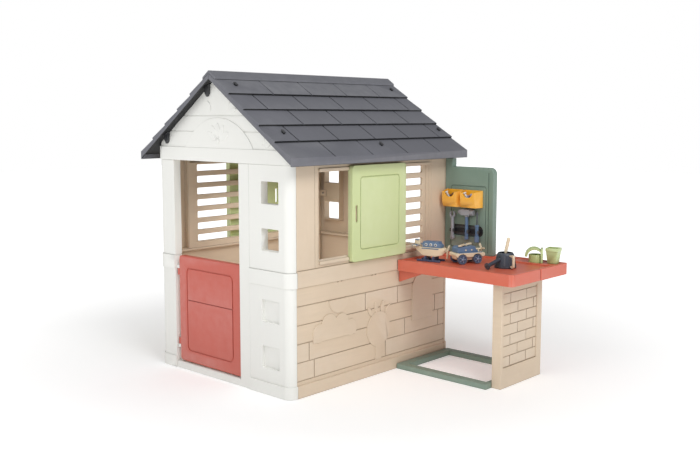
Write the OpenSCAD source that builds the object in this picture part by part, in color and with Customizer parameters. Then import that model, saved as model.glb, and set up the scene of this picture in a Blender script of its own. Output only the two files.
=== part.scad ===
// Plastic garden playhouse with a workbench at its side.
// The walls are moulded panels, the roof is two moulded slopes under a ridge cap.
// House frame: the right wall's face is x = 0, the front wall's face is y = 0,
// and the house lies towards -x and +y. in_frame() centres the whole set.

/* [House] */
// Width of the walls across the front
house_w = 820; // [700:10:1200]
// Depth of the walls from front to back
house_l = 1012; // [960:4:1400]
// Thickness of the front and back walls
front_t = 36; // [30:1:60]
// Thickness of the side walls
side_t = 30; // [24:1:50]
// Thickness of the moulded skin
skin = 5; // [4:0.5:8]
// Radius of the upright corners
corner_r = 34; // [10:1:34]
// How far the bands stand proud of a wall
band_out = 5; // [2:1:8]
// Gap between two pieces that meet
seam = 0.3; // [0.2:0.1:0.5]

/* [Levels] */
// Height of the plinth
plinth_h = 50; // [30:2:70]
// Lower edge of the middle band
band_z = 434; // [400:2:480]
// Upper edge of the lower front panels
rail_z = 494; // [484:2:560]
// Upper edge of the lower side walls
sill_z = 499; // [490:1:570]
// Lower edge of the lintel
lintel_z = 905; // [890:1:1000]
// Height of the lintel band
lintel_h = 56; // [40:2:60]

/* [Front] */
// Width of the post beside the door
post_w = 108; // [90:2:140]
// Width of the panel with the square windows
panel_w = 230; // [200:2:300]
// Width of the strip on the latch side of the door
jamb_w = 61; // [40:1:80]
// Height of the doorstep
step_h = 30; // [20:2:40]
// Width of a square window
square_w = 97; // [60:1:110]
// Height of a square window
square_h = 87; // [60:1:100]
// Distance of the square windows from the side wall
square_in = 61; // [50:1:80]
// Radius of the arch in the gable
arch_r = 246; // [200:2:260]

/* [Side windows] */
// Width of the posts at the ends of a side wall
side_post_w = 100; // [80:2:120]
// Width of the window frame's upright edges
stile_w = 20; // [16:1:30]
// Lower edge of the window
window_z = 526; // [520:2:600]
// Height of one gap between slats
gap_h = 30; // [20:1:40]
// Height of one slat
slat_h = 23; // [16:1:30]
// Number of gaps in the slatted half
gap_n = 7; // [5:1:7]
// Thickness of the slats
slat_t = 14; // [10:1:20]
// Width of a shutter
shutter_w = 340; // [260:5:360]
// How far the shutter stands in front of the wall
shutter_out = 26; // [22:1:32]
// Clearance around a sliding rail
slide_gap = 0.4; // [0.3:0.1:0.8]

/* [Roof] */
// Slope of the roof in degrees
roof_pitch = 35; // [28:1:38]
// Overhang at the eaves
eave_out = 62; // [50:2:80]
// Lower edge of the eaves
eave_z = 904; // [900:1:1000]
// Height of the eaves' lip
eave_lip = 32; // [26:1:40]
// Overhang at the front and the back
verge_out = 47; // [40:1:60]
// Thickness of the roof between its lips
roof_body = 14; // [12:1:20]
// Depth of the lip along the verges
verge_lip = 25; // [20:1:35]
// Width of one course of shingles up the slope
course = 106; // [90:1:115]
// Height of a shingle's lower edge
shingle_step = 8; // [4:1:8]
// Width of the joint between two shingles
shingle_joint = 7; // [3:1:8]
// Half the width of the ridge cap
cap_half = 38; // [30:1:60]

/* [Door] */
// Height of the door's upper edge
door_top = 495; // [460:1:560]
// Thickness of the door
door_t = 24; // [18:1:24]
// Radius of a hinge pin
pin_r = 4; // [3:0.5:5]
// Clearance around a hinge pin
pin_gap = 0.08; // [0.05:0.01:0.1]
// Clearance around the door
door_gap = 3; // [2:0.5:5]

/* [Workbench] */
// Height of the bench top's surface
bench_h = 478; // [470:2:520]
// Thickness of the bench top
bench_t = 48; // [40:1:60]
// Length of the bench away from the wall
bench_w = 574; // [560:2:640]
// Depth of the bench along the wall
bench_d = 423; // [400:1:440]
// Where the bench starts along the wall
bench_y = 632; // [600:1:660]
// Depth of the tray in the bench top
tray_depth = 6; // [4:1:12]
// Width of the tray's rim
rim_w = 14; // [8:1:24]
// Thickness of the leg
leg_t = 43; // [30:1:60]
// Depth of the leg along the wall
leg_d = 304; // [240:2:320]
// Height of the base frame
base_h = 22; // [14:1:40]
// Width of the base frame's bars
base_bar = 38; // [24:1:60]
// Width of the tool board
board_w = 249; // [240:1:300]
// Thickness of the tool board
board_t = 30; // [24:1:40]
// Height of the tool board's upper edge
board_top = 865; // [850:1:890]

/* [Accessories] */
// Width of a bin
bin_w = 95; // [80:1:104]
// Height of a bin
bin_h = 76; // [60:1:90]
// Depth of a bin
bin_d = 52; // [40:1:60]
// Radius of the buggy's front wheels
front_wheel_r = 20; // [16:1:22]
// Radius of the buggy's rear wheels
rear_wheel_r = 19; // [16:1:22]
// Radius of a toy axle
axle_r = 2.5; // [2:0.5:3]
// Running clearance of a toy axle
axle_gap = 0.08; // [0.05:0.01:0.1]
// Height of the square pot
pot_h = 66; // [50:1:90]
// Wall of the pots and the can
pot_wall = 3; // [2:0.5:5]

/* [Hidden] */

$fn = 48;
white = [0.93, 0.93, 0.91];
beige = [0.86, 0.78, 0.67];
slate = [0.40, 0.42, 0.46];
red = [0.82, 0.38, 0.31];
green = [0.80, 0.85, 0.61];
sage = [0.42, 0.53, 0.47];
yellow = [0.98, 0.66, 0.14];
blue = [0.36, 0.47, 0.62];
cream = [0.90, 0.82, 0.68];
dark = [0.16, 0.17, 0.19];
steel = [0.62, 0.64, 0.68];

half_w = house_w / 2;
roof_run = half_w + eave_out;
tan_p = tan(roof_pitch);
cos_p = cos(roof_pitch);
sin_p = sin(roof_pitch);
eave_top = eave_z + eave_lip;
slope_l = roof_run / cos_p;
course_n = 5;
cap_rise = 4;
ridge_top = eave_top + roof_run * tan_p + cap_rise;

bench_x = band_out + 3;
bench_end = bench_x + bench_w;
// The set is centred between the left eaves and the bench's far end.
mid_x = (bench_end - house_w - eave_out) / 2;
mid_y = house_l / 2;

door_x0 = -house_w + post_w;
door_x1 = -panel_w - jamb_w;
groove = 3;
tie_z = [300, 700];
tie_arm = 44;
tie_t = 4;
tie_h = 30;
screw_r = 2.5;
screw_gap = 0.1;
screw_l = 16;
pad = 26;

// ---------------------------------------------------------------- helpers

module in_frame() {
    translate([-mid_x, -mid_y, 0]) children();
}

// Half a turn about the middle of the house: right wall to left, front to back.
module turned() {
    translate([-house_w, house_l, 0]) rotate([0, 0, 180]) children();
}

// Extrudes an (x, z) outline backwards from the plane y = y0.
module front_face(y0, depth) {
    translate([0, y0 + depth, 0]) rotate([90, 0, 0]) linear_extrude(depth) children();
}

// Extrudes a (y, z) outline inwards from the plane x = x0.
module side_face(x0, depth) {
    translate([x0 - depth, 0, 0]) rotate([90, 0, 90]) linear_extrude(depth) children();
}

// Rectangle with round corners and its lower left corner at the origin.
module rounded(w, h, r) {
    if (w > 2 * r) translate([r, 0]) square([w - 2 * r, h]);
    if (h > 2 * r) translate([0, r]) square([w, h - 2 * r]);
    for (x = [r, w - r], y = [r, h - r]) translate([x, y]) circle(r);
}

module box2(x0, z0, x1, z1) {
    translate([x0, z0]) square([x1 - x0, z1 - z0]);
}

// Pointed leaf along +x from the origin, as two arcs.
module leaf(l, r) {
    rise = sqrt(r * r - l * l / 4);
    intersection() {
        translate([l / 2, -rise]) circle(r);
        translate([l / 2, rise]) circle(r);
    }
}

// Plan of the front wall with its two outer corners rounded, grown by g.
module front_plan(g) {
    r = corner_r + g;
    w = house_w + 2 * g;
    translate([-house_w - g, -g]) {
        translate([r, 0]) square([w - 2 * r, r]);
        translate([0, r]) square([w, front_t + 20]);
        for (x = [r, w - r]) translate([x, r]) circle(r);
    }
}

// Slab of the front wall with an (x, z) outline, its face g proud of the wall.
module front_slab(g = 0) {
    intersection() {
        front_face(-g, front_t + g) children();
        linear_extrude(ridge_top) front_plan(g);
    }
}

// Hollow behind the front wall's skin, inside an (x, z) outline.
module front_pocket(y0 = skin) {
    intersection() {
        front_face(y0, front_t) children();
        linear_extrude(ridge_top) front_plan(-skin);
    }
}

// Blind holes for the corner ties' screws, in the front wall.
module front_tie_holes() {
    for (z = tie_z, x = [-side_t - pad, -house_w + side_t + pad])
        translate([x, front_t, z]) rotate([90, 0, 0])
            cylinder(r = screw_r + screw_gap, h = screw_l - tie_t + 1);
}

// Solid pads that keep the tie holes out of the hollows.
module tie_pads(at_x) {
    for (z = tie_z) translate([at_x - pad / 2, z - pad / 2]) square(pad);
}

// Height of the roof's underside at distance d from the ridge.
function under_z(d) = eave_top + (roof_run - d) * tan_p - roof_body / cos_p - seam;

// ------------------------------------------------------------ front and back

module post_lower_shape() {
    difference() {
        union() {
            front_slab() box2(-house_w, 0, door_x0, rail_z);
            front_slab(band_out) box2(-house_w - band_out, 0, door_x0, plinth_h);
            front_slab(band_out) box2(-house_w - band_out, band_z, door_x0, rail_z);
        }
        front_pocket() difference() {
            box2(-house_w, skin, door_x0 - skin, rail_z - skin);
            tie_pads(-house_w + side_t + pad);
        }
        front_tie_holes();
    }
}

module post_upper_shape() {
    difference() {
        front_slab() box2(-house_w, rail_z + seam, door_x0, lintel_z - seam);
        front_pocket() difference() {
            box2(-house_w, rail_z + skin, door_x0 - skin, lintel_z - skin);
            tie_pads(-house_w + side_t + pad);
        }
        front_tie_holes();
    }
}

module door_frame_shape() {
    x1 = -panel_w - seam;
    difference() {
        union() {
            front_slab() box2(door_x1, 0, x1, lintel_z - seam);
            front_slab() box2(door_x0 + seam, 0, door_x1, step_h);
            front_face(front_t - 3, 3) box2(door_x1 - 12, 0, door_x1, door_top);
        }
        front_pocket() box2(door_x1 + skin, step_h, x1 - skin, lintel_z - 2 * skin);
        front_pocket() box2(door_x0 + skin, skin, door_x1 - 2 * skin, step_h - skin);
    }
}

// Outline of one pair of square windows from height z upwards.
module square_pair(z) {
    for (k = [0, 1]) {
        translate([-square_in - square_w, z + k * (square_h + 96)])
            rounded(square_w, square_h, 4);
    }
}

module lower_panel_shape() {
    low_squares = 107;
    recess = 12;
    difference() {
        union() {
            front_slab() box2(-panel_w, 0, 0, rail_z);
            front_slab(band_out) box2(-panel_w + 2, 0, band_out, plinth_h);
            front_slab(band_out) box2(-panel_w + 2, band_z, band_out, rail_z);
        }
        front_pocket(skin + recess) difference() {
            box2(-panel_w + skin, skin, 0, rail_z - skin);
            tie_pads(-side_t - pad);
        }
        front_face(-1, recess + 1) square_pair(low_squares);
        front_tie_holes();
    }
}

module upper_panel_shape() {
    square_z = 570;
    difference() {
        front_slab() box2(-panel_w, rail_z + seam, 0, lintel_z - seam);
        front_pocket() difference() {
            box2(-panel_w + skin, rail_z + skin, 0, lintel_z - skin);
            translate([-square_in - square_w - skin, square_z - skin])
                square([square_w + 2 * skin, 2 * square_h + 96 + 2 * skin]);
            tie_pads(-side_t - pad);
        }
        front_face(-1, front_t + 2) square_pair(square_z);
        front_tie_holes();
    }
}

// Gable outline under the roof, widened by g at the ends and lowered by d.
module gable_outline(g = 0, d = 0) {
    polygon([
        [-house_w - g, lintel_z], [g, lintel_z],
        [g, under_z(half_w + g) - d],
        [-half_w, under_z(0) - d],
        [-house_w - g, under_z(half_w + g) - d]
    ]);
}

module gable_reliefs() {
    leaf_l = 46;
    leaf_r = 34;
    arch_top = lintel_z + lintel_h + 122;
    // Raised arch with a small plant in its middle
    intersection() {
        translate([-half_w, arch_top - arch_r]) circle(arch_r, $fn = 96);
        box2(-house_w, lintel_z + lintel_h, 0, arch_top);
    }
    // Leaf sprays near the apex and in the right-hand corner
    for (p = [[-half_w + 52, 1118, 62], [-half_w + 70, 1104, 18], [-half_w - 44, 1110, 118],
              [-150, 978, 72], [-138, 972, 22], [-104, 976, 100]])
        translate([p[0], p[1]]) rotate(p[2]) leaf(leaf_l, leaf_r);
}

module plaque_plant() {
    base_z = lintel_z + lintel_h + 26;
    for (a = [30, 60, 90, 120, 150])
        translate([-half_w, base_z]) rotate(a) translate([12, 0]) leaf(64, 46);
    translate([-half_w, base_z]) circle(9);
}

module gable_shape() {
    relief = 3;
    plank_z = [1026, 1090];
    difference() {
        union() {
            front_slab() gable_outline();
            front_slab(band_out) intersection() {
                gable_outline(band_out);
                box2(-house_w - band_out, lintel_z, band_out, lintel_z + lintel_h);
            }
            front_face(-relief, relief) intersection() {
                gable_outline(0, 4);
                gable_reliefs();
            }
            front_face(-relief - 2, 3) plaque_plant();
        }
        front_pocket() difference() {
            offset_gable();
            for (x = [-half_w - 200, -half_w, -half_w + 200])
                box2(x - 3, lintel_z, x + 3, ridge_top);
        }
        for (z = plank_z) front_face(-1, 1 + groove) difference() {
            box2(-house_w, z, 0, z + 4);
            gable_reliefs();
        }
        clip_rooms();
    }
}

// The gable's hollow: its outline drawn in by the skin.
module offset_gable() {
    drop = 3 * skin;
    polygon([
        [-house_w + drop, lintel_z + skin], [-drop, lintel_z + skin],
        [-drop, under_z(half_w - drop) - drop],
        [-half_w, under_z(0) - drop],
        [-house_w + drop, under_z(half_w - drop) - drop]
    ]);
}

module infill_shape() {
    inset = 6;
    x0 = door_x0 + seam;
    x1 = door_x1 - seam;
    difference() {
        front_face(inset, front_t - inset) box2(x0, step_h + seam, x1, rail_z);
        front_face(inset + skin, front_t) box2(x0 + skin, step_h + 2 * skin, x1 - skin, rail_z - skin);
        for (z = [139, 212, 286, 360, 434])
            front_face(inset - 1, 1 + groove) box2(x0 - 1, z, x1 + 1, z + 4);
    }
}

module front_gable() { in_frame() color(white) gable_shape(); }
module front_upper_panel() { in_frame() color(white) upper_panel_shape(); }
module front_lower_panel() { in_frame() color(white) lower_panel_shape(); }
module front_door_frame() { in_frame() color(white) door_frame_shape(); }
module front_post_upper() { in_frame() color(white) post_upper_shape(); }
module front_post_lower() { in_frame() color(white) post_lower_shape(); }
module back_gable() { in_frame() turned() color(beige) gable_shape(); }
module back_upper_panel() { in_frame() turned() color(beige) upper_panel_shape(); }
module back_lower_panel() { in_frame() turned() color(beige) lower_panel_shape(); }
module back_opening_frame() { in_frame() turned() color(beige) back_frame_shape(); }
module back_post_upper() { in_frame() turned() color(beige) post_upper_shape(); }
module back_post_lower() { in_frame() turned() color(beige) post_lower_shape(); }
module back_infill_panel() { in_frame() turned() color(beige) infill_shape(); }

// The back has no door, so its frame carries no stop for one.
module back_frame_shape() {
    x1 = -panel_w - seam;
    difference() {
        union() {
            front_slab() box2(door_x1, 0, x1, lintel_z - seam);
            front_slab() box2(door_x0 + seam, 0, door_x1, step_h);
        }
        front_pocket() box2(door_x1 + skin, step_h, x1 - skin, lintel_z - 2 * skin);
        front_pocket() box2(door_x0 + skin, skin, door_x1 - 2 * skin, step_h - skin);
    }
}

// ------------------------------------------------------------------ side walls

side_y0 = front_t + 1;
side_y1 = house_l - side_y0;
side_top = under_z(half_w);
window_y0 = side_y0 + side_post_w + stile_w;
window_y1 = house_l - window_y0;
window_top = window_z + gap_n * gap_h + (gap_n - 1) * slat_h;
slats_y0 = house_l / 2;

module side_tie_holes() {
    for (z = tie_z, y = [front_t + pad, house_l - front_t - pad])
        translate([-side_t, y, z]) rotate([0, 90, 0])
            cylinder(r = screw_r + screw_gap, h = screw_l - tie_t + 1);
}

module side_pads() {
    for (z = tie_z, y = [front_t + pad, house_l - front_t - pad])
        translate([y - pad / 2, z - pad / 2]) square(pad);
}

// Reliefs moulded into the lower side wall: half sun, cloud, tree and round-topped door.
module wall_reliefs() {
    translate([270, 360]) intersection() {
        circle(56);
        translate([-60, -60]) square([120, 60]);
    }
    for (c = [[160, 238, 38], [215, 262, 46], [285, 256, 44], [340, 234, 34]])
        translate([c[0], c[1]]) circle(c[2]);
    box2(124, 204, 372, 236);
    translate([515, 196]) circle(74);
    box2(497, 66, 533, 130);
    for (a = [52, 76, 100, 124])
        translate([515, 196]) rotate(a) translate([70, 0]) leaf(52, 38);
    box2(742, 192, 888, 330);
    translate([815, 330]) circle(73);
}

module wall_planks() {
    levels = [66, 139, 212, 286, 360];
    // Upright joints: distance along the wall and the plank row's lower line
    joints = [[128, 0], [560, 0], [100, 1], [690, 1], [470, 2], [640, 3], [430, 3], [930, 1], [905, 2]];
    difference() {
        union() {
            for (z = levels) box2(side_y0 - 1, z, side_y1 + 1, z + 4);
            for (j = joints) box2(j[0], levels[j[1]], j[0] + 4, levels[j[1]] + 75);
        }
        wall_reliefs();
    }
}

module lower_wall_shape() {
    relief = 3;
    mid_rib = house_l / 2;
    difference() {
        union() {
            side_face(0, side_t) box2(side_y0, 0, side_y1, sill_z - seam);
            side_face(band_out, band_out + 1) box2(side_y0, 0, side_y1, plinth_h);
            side_face(band_out, band_out + 1) box2(side_y0, band_z, side_y1, sill_z - seam);
            side_face(relief, relief + 1) wall_reliefs();
        }
        side_face(-2 * skin, side_t) difference() {
            box2(side_y0 + skin, skin, side_y1 - skin, sill_z - 2 * skin);
            box2(mid_rib - 3, 0, mid_rib + 3, sill_z);
            side_pads();
        }
        side_face(1, 1 + groove) wall_planks();
        // Notches under the band where the panel unhooks
        for (y = [262, 284, 470, 492, 700, 722])
            side_face(band_out + 1, band_out + 1 + groove) box2(y, band_z - 6, y + 8, band_z);
        side_tie_holes();
    }
}

module side_post_shape(y0) {
    difference() {
        side_face(0, side_t) box2(y0, sill_z, y0 + side_post_w - seam, side_top);
        side_face(-2 * skin, side_t) difference() {
            box2(y0 + skin, sill_z + skin, y0 + side_post_w - 2 * skin, side_top - skin);
            side_pads();
        }
        side_tie_holes();
    }
}

rail_stem = 5;
rail_head = 3;
rail_z_low = window_z - 14;
rail_z_high = window_top + 2;
rail_h = 12;
stem_h = 4;

// T-shaped rail on which a shutter runs, as an (x, z) outline from height z.
module rail_outline(z, grow = 0) {
    box2(-grow, z + rail_h / 2 - stem_h / 2 - grow, rail_stem + grow, z + rail_h / 2 + stem_h / 2 + grow);
    box2(rail_stem - grow, z - grow, rail_stem + rail_head + grow, z + rail_h + grow);
}

module window_frame_shape() {
    y0 = side_y0 + side_post_w;
    y1 = side_y1 - side_post_w - seam;
    difference() {
        union() {
            side_face(0, side_t) difference() {
                box2(y0, sill_z, y1, side_top);
                translate([window_y0, window_z]) square([window_y1 - window_y0, window_top - window_z]);
            }
            side_face(-3, slat_t) box2(slats_y0, window_z - 1, window_y1 + 1, window_top + 1);
            side_face(-1, side_t - 1) for (y = [slats_y0, window_y1 - stile_w])
                box2(y, window_z - 1, y + stile_w, window_top + 1);
            for (z = [rail_z_low, rail_z_high])
                front_face(window_y0, window_y1 - window_y0) rail_outline(z);
        }
        for (k = [0 : gap_n - 1])
            side_face(0, side_t) translate([slats_y0 + stile_w, window_z + k * (gap_h + slat_h)])
                rounded(window_y1 - slats_y0 - 3 * stile_w, gap_h, 6);
        side_face(-2 * skin, side_t)
            box2(y0 + 2 * skin, window_top + 2 * skin, y1 - 2 * skin, side_top - skin);
        clip_room();
    }
}

shutter_z0 = rail_z_low - 8;
shutter_z1 = rail_z_high + rail_h + 6;
shutter_y0 = 325;

module shutter_shape(y0) {
    h = shutter_z1 - shutter_z0;
    edge = 24;
    back = 1;
    panel_in = 46;
    translate([0, y0, 0]) difference() {
        side_face(shutter_out, shutter_out - back) translate([0, shutter_z0]) rounded(shutter_w, h, 14);
        side_face(shutter_out - skin - groove, shutter_out)
            box2(skin, shutter_z0 + edge, shutter_w - skin, shutter_z1 - edge);
        for (z = [rail_z_low, rail_z_high])
            front_face(-1, shutter_w + 2) rail_outline(z, slide_gap);
        // Moulded line around the middle of the shutter
        side_face(shutter_out + 1, groove + 1) difference() {
            translate([panel_in, shutter_z0 + panel_in])
                rounded(shutter_w - 2 * panel_in, h - 2 * panel_in, 16);
            translate([panel_in + 4, shutter_z0 + panel_in + 4])
                rounded(shutter_w - 2 * panel_in - 8, h - 2 * panel_in - 8, 12);
        }
        // Finger slot near the front edge
        side_face(shutter_out + 1, shutter_out) translate([20, shutter_z0 + h / 2 - 35]) rounded(12, 70, 6);
    }
}

module right_lower_wall() { in_frame() color(beige) lower_wall_shape(); }
module right_post_front() { in_frame() color(beige) side_post_shape(side_y0); }
module right_post_back() { in_frame() color(beige) side_post_shape(side_y1 - side_post_w + seam); }
module right_window_frame() { in_frame() color(beige) window_frame_shape(); }
module right_shutter() { in_frame() color(green) shutter_shape(shutter_y0); }
module left_lower_wall() { in_frame() turned() color(beige) lower_wall_shape(); }
module left_post_front() { in_frame() turned() color(beige) side_post_shape(side_y1 - side_post_w + seam); }
module left_post_back() { in_frame() turned() color(beige) side_post_shape(side_y0); }
module left_window_frame() { in_frame() turned() color(beige) window_frame_shape(); }
module left_shutter() { in_frame() turned() color(green) shutter_shape(left_shutter_y0); }
left_shutter_y0 = 272;

// ------------------------------------------------------------------------ roof

// Point at distance s up the right slope and t above its upper face.
function slope_pt(s, t) = [eave_out - s * cos_p + t * sin_p, eave_top + s * sin_p + t * cos_p];
// Point of the roof's upper or lower line straight under distance d from the ridge, t above.
function roof_pt(d, t) = [-half_w + d, eave_top + (roof_run - d) * tan_p + t / cos_p];
function course_end(k) = k == course_n - 1 ? slope_l : (k + 1) * course;

roof_y0 = -verge_out;
roof_l = house_l + 2 * verge_out;
lip_t = 6;
shingle_w = roof_l / course_n;

module shingle_line() {
    sawtooth = [for (k = [0 : course_n - 1], e = [0, 1])
        e == 0 ? slope_pt(k * course, 0) : slope_pt(course_end(k), -shingle_step)];
    polygon(concat(sawtooth, [
        roof_pt(seam, -roof_body), roof_pt(roof_run - lip_t, -roof_body),
        [eave_out - lip_t, eave_z], [eave_out, eave_z]
    ]));
}

module verge_line() {
    polygon([
        roof_pt(seam, -shingle_step - 1), roof_pt(seam, -verge_lip),
        roof_pt(roof_run - 1, -verge_lip), roof_pt(roof_run - 1, -shingle_step - 1)
    ]);
}

// Left out along the ridge so that the two slopes meet without touching.
module ridge_side() {
    translate([-half_w + seam / 2, 0]) square([roof_run + 10, ridge_top]);
}

joint_depth = roof_body - shingle_step - 2;

module joint_line(k) {
    polygon([
        slope_pt(k * course, -joint_depth), slope_pt(course_end(k), -shingle_step - joint_depth),
        slope_pt(course_end(k), 4), slope_pt(k * course, 4)
    ]);
}

clip_spots = [[163, 41], [163, 1020], [487, 33], [487, 998], [69, 525]];
clip_hole = [16, 9];

module clip_place(p) {
    translate([eave_out, p[1], eave_top]) rotate([0, roof_pitch, 0]) translate([-p[0], 0, 0]) children();
}

module roof_shape() {
    difference() {
        union() {
            front_face(roof_y0, roof_l) intersection() {
                shingle_line();
                ridge_side();
            }
            for (y = [roof_y0, roof_y0 + roof_l - lip_t])
                front_face(y, lip_t) intersection() {
                    verge_line();
                    ridge_side();
                }
            for (y = [house_l / 4, house_l / 2, 3 * house_l / 4])
                front_face(y - 3, 6) polygon([
                    roof_pt(20, -roof_body + 1), roof_pt(20, -verge_lip),
                    roof_pt(half_w - side_t - 10, -verge_lip), roof_pt(half_w - side_t - 10, -roof_body + 1)
                ]);
        }
        for (k = [0 : course_n - 1], j = [0 : course_n - 1]) {
            stagger = k % 2 == 0 ? 1.05 : 0.55;
            y = roof_y0 + (j + stagger) * shingle_w;
            if (y < roof_y0 + roof_l - 30)
                front_face(y, shingle_joint) joint_line(k);
        }
        for (p = clip_spots)
            clip_place(p) translate([-clip_hole[0] / 2, -clip_hole[1] / 2, -40])
                cube([clip_hole[0], clip_hole[1], 60]);
    }
}

// Level of the last course of shingles, relative to the roof line, at distance d from the ridge.
function last_course_t(d) =
    -shingle_step * ((roof_run - d) / cos_p - (course_n - 1) * course) / (slope_l - (course_n - 1) * course);

module cap_shape() {
    edge_d = cap_half;
    cap_low = last_course_t(edge_d);
    front_face(roof_y0, roof_l) polygon([
        [-half_w, ridge_top],
        [-half_w + edge_d, ridge_top - edge_d * tan_p], roof_pt(edge_d, cap_low + seam),
        roof_pt(0, last_course_t(0) + seam),
        [-half_w - edge_d, roof_pt(edge_d, cap_low + seam)[1]],
        [-half_w - edge_d, ridge_top - edge_d * tan_p]
    ]);
}

// One clip: a shank through the roof, a hook on top and a barb beneath.
module clip_shape() {
    fit = 0.4;
    a = clip_hole[0] - 2 * fit;
    b = clip_hole[1] - 2 * fit;
    top_t = -shingle_step + 3;
    translate([-a / 2, -b / 2, -roof_body - 5]) cube([a, b, roof_body + 5 + top_t + 6]);
    translate([-a / 2 - 4, -b / 2 - 1.5, top_t + 5 + fit]) cube([a + 4, b + 3, 4]);
    translate([-a / 2 - 2, -b / 2 - 1.5, -roof_body - 5]) cube([a + 4, b + 3, 4]);
}

module clips_shape() {
    for (p = clip_spots) clip_place(p) clip_shape();
}

hook_t = 13;

// Hooks under both ends of a slope, close against the gables.
module verge_hooks() {
    for (d = [44, 322], y = [-seam - hook_t, house_l + seam])
        front_face(y, hook_t) polygon([
            roof_pt(d, -roof_body - seam), roof_pt(d + 26, -roof_body - seam),
            roof_pt(d + 26, -roof_body - 12), roof_pt(d + 14, -roof_body - 34),
            roof_pt(d + 3, -roof_body - 30)
        ]);
}

// Room for the clips' barbs in whatever lies under the roof, on both slopes.
module clip_room() {
    free = 0.8;
    l = clip_hole[0] + 4 + 2 * free;
    w = clip_hole[1] + 3 + 2 * free;
    for (p = clip_spots) clip_place(p) translate([-l / 2, -w / 2, -roof_body - 6]) cube([l, w, 8]);
}

module clip_rooms() {
    clip_room();
    turned() clip_room();
}

module roof_right() { in_frame() color(slate) roof_shape(); }
module roof_left() { in_frame() turned() color(slate) roof_shape(); }
module ridge_cap() { in_frame() color(slate) cap_shape(); }
module roof_clips() {
    in_frame() color(dark) {
        clips_shape();
        verge_hooks();
        turned() clips_shape();
        turned() verge_hooks();
    }
}

// ------------------------------------------------------------------------ door

knuckle_r = 7.5;
hinge_x = door_x0 + knuckle_r + 1.5;
hinge_y = 14;
leaf_x0 = hinge_x + knuckle_r + 1.5;
leaf_x1 = door_x1 - door_gap;
leaf_z0 = step_h + 6;
leaf_y0 = hinge_y - 6;
knuckle_h = 28;
knuckle_low = 104;
knuckle_high = door_top - 86;

module door_panel_line(w, h, inset) {
    translate([inset, inset]) rounded(w - 2 * inset, h - 2 * inset, 34 - inset / 4);
}

module door_shape() {
    w = leaf_x1 - leaf_x0;
    h = door_top - leaf_z0;
    difference() {
        union() {
            front_face(leaf_y0, door_t) translate([leaf_x0, leaf_z0]) rounded(w, h, 12);
            for (z = [knuckle_low, knuckle_high]) {
                translate([hinge_x, hinge_y, z]) cylinder(r = knuckle_r, h = knuckle_h);
                translate([hinge_x, hinge_y - 5, z]) cube([knuckle_r + 4, 10, knuckle_h]);
            }
        }
        front_face(leaf_y0 + skin + groove, door_t) translate([leaf_x0, leaf_z0]) difference() {
            box2(skin, skin, w - skin, h - skin);
            box2(w / 2 - 3, 0, w / 2 + 3, h);
        }
        for (z = [knuckle_low, knuckle_high])
            translate([hinge_x, hinge_y, z - 1]) cylinder(r = pin_r + pin_gap, h = knuckle_h + 2);
        front_face(leaf_y0 - 1, groove + 1) translate([leaf_x0, leaf_z0]) {
            difference() {
                door_panel_line(w, h, 48);
                door_panel_line(w, h, 54);
            }
            box2(54, 268, w - 54, 272);
        }
    }
}

// Plate on the post with an upright pin; s = 1 stands below its knuckle, -1 above.
module hinge_shape(z, s) {
    plate_h = 14;
    arm_y = 16;
    translate([0, 0, z]) mirror([0, 0, s < 0 ? 1 : 0]) {
        translate([0, 0, -plate_h - seam]) {
            translate([door_x0 + seam, hinge_y - arm_y / 2, 0])
                cube([hinge_x - door_x0 - seam, arm_y, plate_h]);
            translate([hinge_x, hinge_y, 0]) cylinder(r = arm_y / 2, h = plate_h);
            translate([hinge_x, hinge_y, 0]) cylinder(r = pin_r, h = plate_h + seam + knuckle_h - 2);
        }
    }
}

module door_leaf() { in_frame() color(red) door_shape(); }
module door_hinges() {
    in_frame() color(white) {
        hinge_shape(knuckle_low, 1);
        hinge_shape(knuckle_high + knuckle_h, -1);
    }
}

// ------------------------------------------------------------------- fastenings

// Angle tie in the front right corner, with its two screw holes.
module tie_shape(z) {
    x = -side_t - seam;
    y = front_t + 1 + seam;
    translate([0, 0, z - tie_h / 2]) difference() {
        union() {
            translate([x - tie_arm, y, 0]) cube([tie_arm, tie_t, tie_h]);
            translate([x - tie_t, y, 0]) cube([tie_t, tie_arm, tie_h]);
        }
        translate([-side_t - pad, y - 1, tie_h / 2]) rotate([-90, 0, 0])
            cylinder(r = screw_r + screw_gap, h = tie_t + 2);
        translate([x - tie_t - 1, front_t + pad, tie_h / 2]) rotate([0, 90, 0])
            cylinder(r = screw_r + screw_gap, h = tie_t + 2);
    }
}

// Screw along -z with its head's underside at the origin.
module screw_shape(l) {
    translate([0, 0, -l]) cylinder(r = screw_r, h = l);
    cylinder(r = 2 * screw_r, h = 3);
}

module tie_screws(z) {
    translate([-side_t - pad, front_t + 1 + seam + tie_t, z]) rotate([-90, 0, 0])
        translate([0, 0, 0.05]) screw_shape(screw_l - 3);
    translate([-side_t - seam - tie_t, front_t + pad, z]) rotate([0, -90, 0])
        translate([0, 0, 0.05]) screw_shape(screw_l - 3);
}

// Repeats a front right corner piece at all four corners of the house.
module four_corners() {
    children();
    translate([-house_w, 0, 0]) mirror([1, 0, 0]) children();
    turned() {
        children();
        translate([-house_w, 0, 0]) mirror([1, 0, 0]) children();
    }
}

board_x0 = bench_x;
board_y = house_l - board_t - 2;

module corner_ties() {
    in_frame() color(dark) four_corners() {
        for (z = tie_z) tie_shape(z);
    }
}

module panel_screws() {
    in_frame() color(steel) {
        four_corners() {
            for (z = tie_z) tie_screws(z);
        }
        for (x = [bench_x + 60, bench_x + 190])
            translate([x, board_y + board_t / 2, bench_h - bench_t + skin - 0.05])
                mirror([0, 0, 1]) screw_shape(bench_t - skin + 14);
    }
}

// -------------------------------------------------------------------- workbench

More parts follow.
